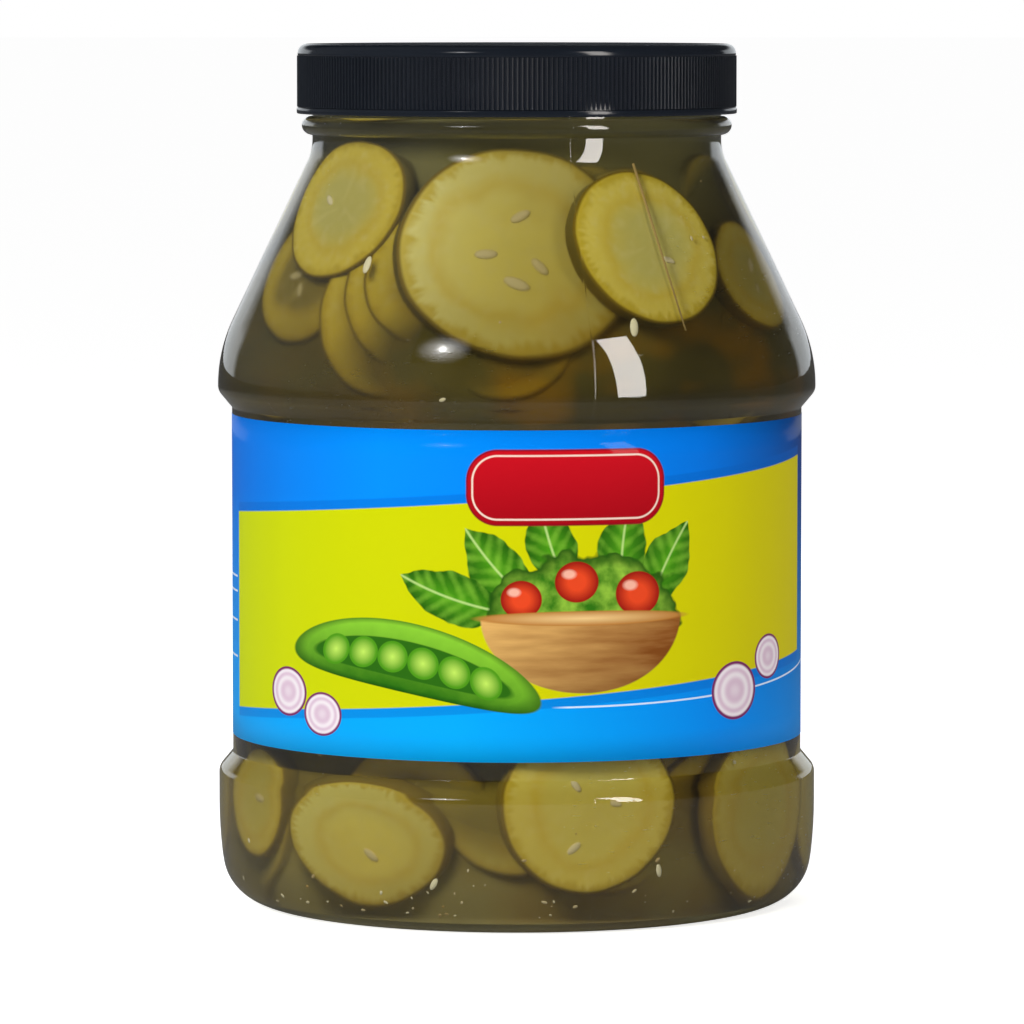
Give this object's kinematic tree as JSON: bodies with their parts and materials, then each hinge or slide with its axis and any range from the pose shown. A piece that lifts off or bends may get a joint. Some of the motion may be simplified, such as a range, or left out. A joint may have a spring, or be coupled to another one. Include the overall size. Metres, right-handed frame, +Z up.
{
  "type": "jar of sliced cucumber salad",
  "caption": "Shut clear jar with a wide neck, cone shoulder and bulged foot, filled with cucumber slices in brine, with a ribbed screw cap and a wrap label.",
  "frame": {"origin": "centre of the jar's base, on the surface it stands on", "axes": "+Z up along the jar's axis, the label's front towards -Y"},
  "size_m": [0.1442, 0.1442, 0.207],
  "materials": {
    "clear_pet": "clear glossy blown plastic",
    "black_plastic": "satin moulded plastic with glossy edges",
    "printed_film": "glossy printed film",
    "cucumber": "wet pickled cucumber flesh"
  },
  "bodies": {
    "root": {"jar": "clear_pet", "lid": "black_plastic", "label": "printed_film", "cucumber_slices": "cucumber"}
  },
  "joints": []
}
